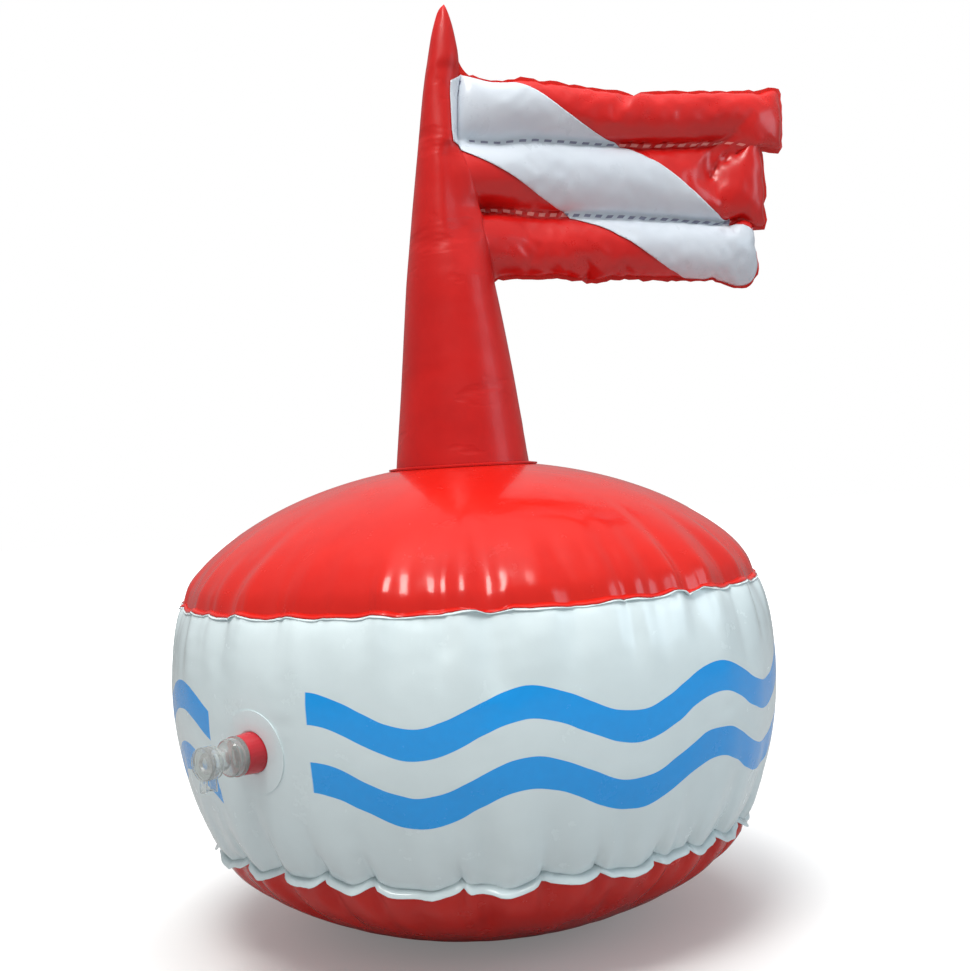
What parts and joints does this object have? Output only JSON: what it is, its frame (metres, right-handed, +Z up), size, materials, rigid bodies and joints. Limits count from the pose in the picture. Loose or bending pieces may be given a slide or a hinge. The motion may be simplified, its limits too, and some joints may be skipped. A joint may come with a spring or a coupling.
{
  "type": "inflatable surface marker buoy",
  "caption": "Inflatable marker buoy: round float with a white side band, tapered mast, quilted flag with a diagonal stripe, oral valve with a tethered plug, and a mooring ring.",
  "frame": {"origin": "centre of the flat patch under the float that it stands on, on the axis of the float", "axes": "+Z up along the mast, +X towards the free end of the flag, +Y to the back; the valve is on the -X -Y side"},
  "size_m": [0.4249, 0.365, 0.5635],
  "materials": {
    "red_pvc": "glossy welded PVC sheet",
    "white_pvc": "glossy welded PVC sheet",
    "clear_pvc": "clear soft PVC",
    "valve_red": "translucent soft PVC over the red lining",
    "black_plastic": "moulded plastic"
  },
  "bodies": {
    "float": {"top_panel": "red_pvc", "side_band": "white_pvc", "bottom_panel": "red_pvc", "upper_seam": "red_pvc", "lower_seam": "white_pvc", "band_joint_strip": "white_pvc", "mast": "red_pvc", "mast_collar": "red_pvc", "flag_front_sheet": "red_pvc", "flag_back_sheet": "red_pvc", "flag_stripe_front": "white_pvc", "flag_stripe_back": "white_pvc", "valve_patch": "clear_pvc", "valve_skirt": "valve_red", "valve_stem": "clear_pvc", "valve_strap": "clear_pvc", "mooring_patch": "red_pvc", "mooring_tab": "red_pvc"},
    "plug": {"valve_plug": "clear_pvc"},
    "ring": {"mooring_ring": "black_plastic"}
  },
  "joints": [
    {"name": "valve_plug_hinge", "type": "hinge", "parent": "float", "child": "plug", "pos_m": [-0.1791, -0.11631, 0.1185], "axis": [0.5446, -0.8387, 0], "range_deg": [0, 140]},
    {"name": "mooring_ring_hinge", "type": "hinge", "parent": "float", "child": "ring", "pos_m": [0.079, 0, 0.0042], "axis": [0, 1, 0], "range_deg": [-25, 140]}
  ]
}
